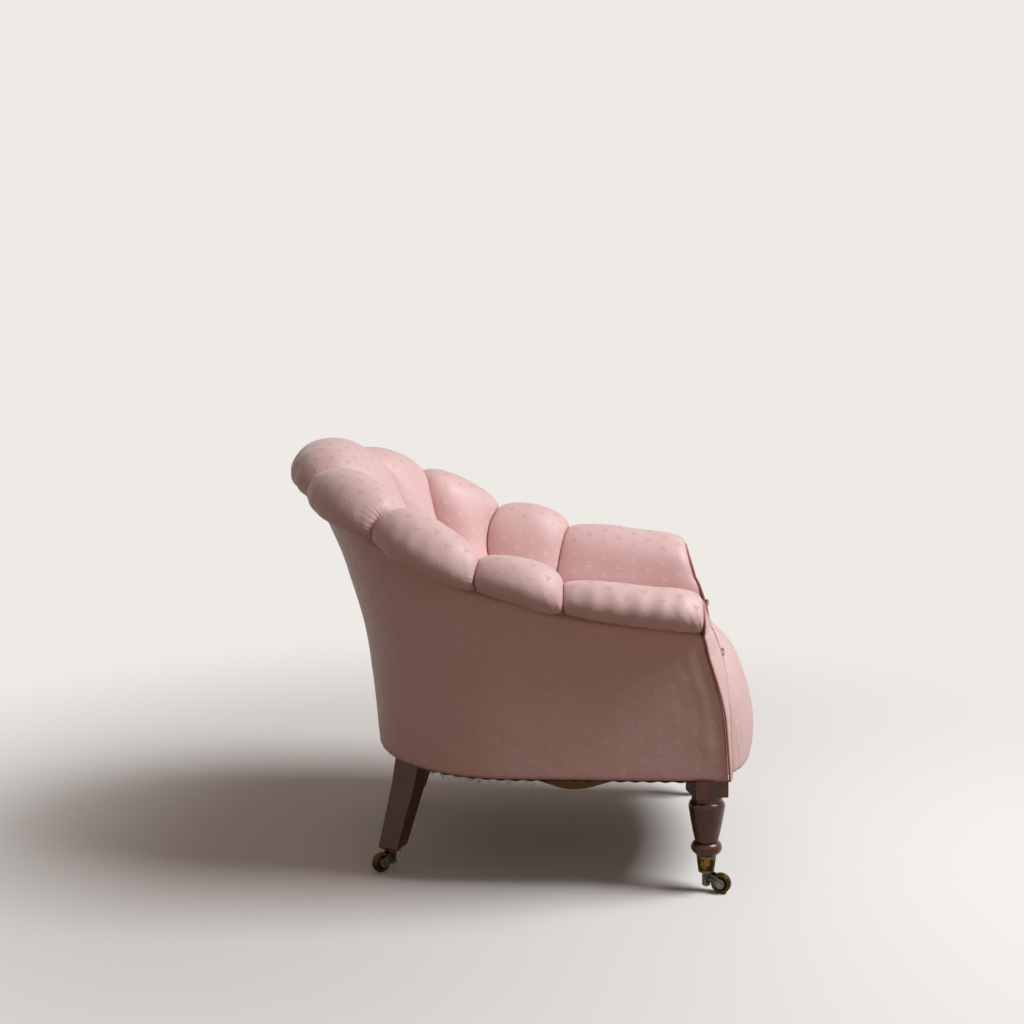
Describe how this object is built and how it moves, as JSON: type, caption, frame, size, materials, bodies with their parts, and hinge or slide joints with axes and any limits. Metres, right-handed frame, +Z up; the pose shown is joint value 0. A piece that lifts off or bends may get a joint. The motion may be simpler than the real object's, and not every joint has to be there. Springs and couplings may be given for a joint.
{
  "type": "shell chair",
  "caption": "Low upholstered shell chair: a channelled tub back rolled over at the top, a sprung bow-fronted seat, turned front legs and raked rear legs on swivelling casters.",
  "frame": {"origin": "on the floor, under the middle of the whole chair", "axes": "+Z up; the chair faces -Y; +X is the left-hand side of a person sitting in it"},
  "size_m": [0.6612, 0.8028, 0.7017],
  "materials": {
    "damask": "satin damask, faded dusty pink with small woven sprigs",
    "piping": "twisted piping cord, deeper rose",
    "hessian": "plain jute hessian",
    "stuffing": "bound hair and fibre",
    "webbing": "herringbone jute webbing",
    "frame_beech": "planed, unfinished",
    "frame_iron": "black wrought bar",
    "spring_steel": "drawn wire",
    "mahogany": "dark mahogany with a worn wax polish",
    "caster_brass": "aged brass",
    "caster_dark": "dark patinated brass",
    "caster_pin": "worn steel"
  },
  "bodies": {
    "root": {"arm_facing_left": "damask", "arm_facing_right": "damask", "arm_piping_left": "piping", "arm_piping_right": "piping", "arm_post_left": "frame_beech", "arm_post_right": "frame_beech", "back_lining": "hessian", "back_rail": "frame_beech", "bottom_cloth": "hessian", "caster_cup_front_left": "caster_brass", "caster_cup_front_right": "caster_brass", "caster_plate_rear_left": "caster_brass", "caster_plate_rear_right": "caster_brass", "caster_screws": "caster_pin", "caster_stud_front_left": "caster_pin", "caster_stud_front_right": "caster_pin", "caster_stud_rear_left": "caster_pin", "caster_stud_rear_right": "caster_pin", "channel_centre": "damask", "channel_left_1": "damask", "channel_left_2": "damask", "channel_left_3": "damask", "channel_left_4": "damask", "channel_right_1": "damask", "channel_right_2": "damask", "channel_right_3": "damask", "channel_right_4": "damask", "coil_springs": "spring_steel", "corner_blocks": "frame_beech", "front_leg_left": "mahogany", "front_leg_right": "mahogany", "front_rail": "frame_beech", "iron_top_rod": "frame_iron", "iron_uprights": "frame_iron", "outside_cover_left": "damask", "outside_cover_right": "damask", "rear_leg_left": "mahogany", "rear_leg_right": "mahogany", "roll_stuffing": "stuffing", "seat_front_roll": "damask", "seat_pad": "damask", "side_rail_left": "frame_beech", "side_rail_right": "frame_beech", "spring_hessian": "hessian", "webbing_crosswise": "webbing", "webbing_lengthwise": "webbing"},
    "swivel_front_left": {"caster_horn_front_left": "caster_dark", "caster_axle_front_left": "caster_pin"},
    "wheel_front_left": {"caster_wheel_front_left": "caster_brass"},
    "swivel_front_right": {"caster_horn_front_right": "caster_dark", "caster_axle_front_right": "caster_pin"},
    "wheel_front_right": {"caster_wheel_front_right": "caster_brass"},
    "swivel_rear_left": {"caster_horn_rear_left": "caster_dark", "caster_axle_rear_left": "caster_pin"},
    "wheel_rear_left": {"caster_wheel_rear_left": "caster_brass"},
    "swivel_rear_right": {"caster_horn_rear_right": "caster_dark", "caster_axle_rear_right": "caster_pin"},
    "wheel_rear_right": {"caster_wheel_rear_right": "caster_brass"}
  },
  "joints": [
    {"name": "front_left_swivel", "type": "hinge", "parent": "root", "child": "swivel_front_left", "pos_m": [0.24, -0.305, 0.0206], "axis": [0, 0, 1], "continuous": true},
    {"name": "front_left_roll", "type": "hinge", "parent": "swivel_front_left", "child": "wheel_front_left", "pos_m": [0.24647, -0.32915, 0.016], "axis": [0.9659, 0.2588, 0], "continuous": true},
    {"name": "front_right_swivel", "type": "hinge", "parent": "root", "child": "swivel_front_right", "pos_m": [-0.24, -0.305, 0.0206], "axis": [0, 0, 1], "continuous": true},
    {"name": "front_right_roll", "type": "hinge", "parent": "swivel_front_right", "child": "wheel_front_right", "pos_m": [-0.24896, -0.32834, 0.016], "axis": [0.9336, -0.3584, 0], "continuous": true},
    {"name": "rear_left_swivel", "type": "hinge", "parent": "root", "child": "swivel_rear_left", "pos_m": [0.164, 0.212, 0.0206], "axis": [0, 0, 1], "continuous": true},
    {"name": "rear_left_roll", "type": "hinge", "parent": "swivel_rear_left", "child": "wheel_rear_left", "pos_m": [0.17496, 0.23447, 0.016], "axis": [-0.8988, 0.4384, 0], "continuous": true},
    {"name": "rear_right_swivel", "type": "hinge", "parent": "root", "child": "swivel_rear_right", "pos_m": [-0.164, 0.212, 0.0206], "axis": [0, 0, 1], "continuous": true},
    {"name": "rear_right_roll", "type": "hinge", "parent": "swivel_rear_right", "child": "wheel_rear_right", "pos_m": [-0.18198, 0.22937, 0.016], "axis": [-0.6947, -0.7193, 0], "continuous": true}
  ]
}
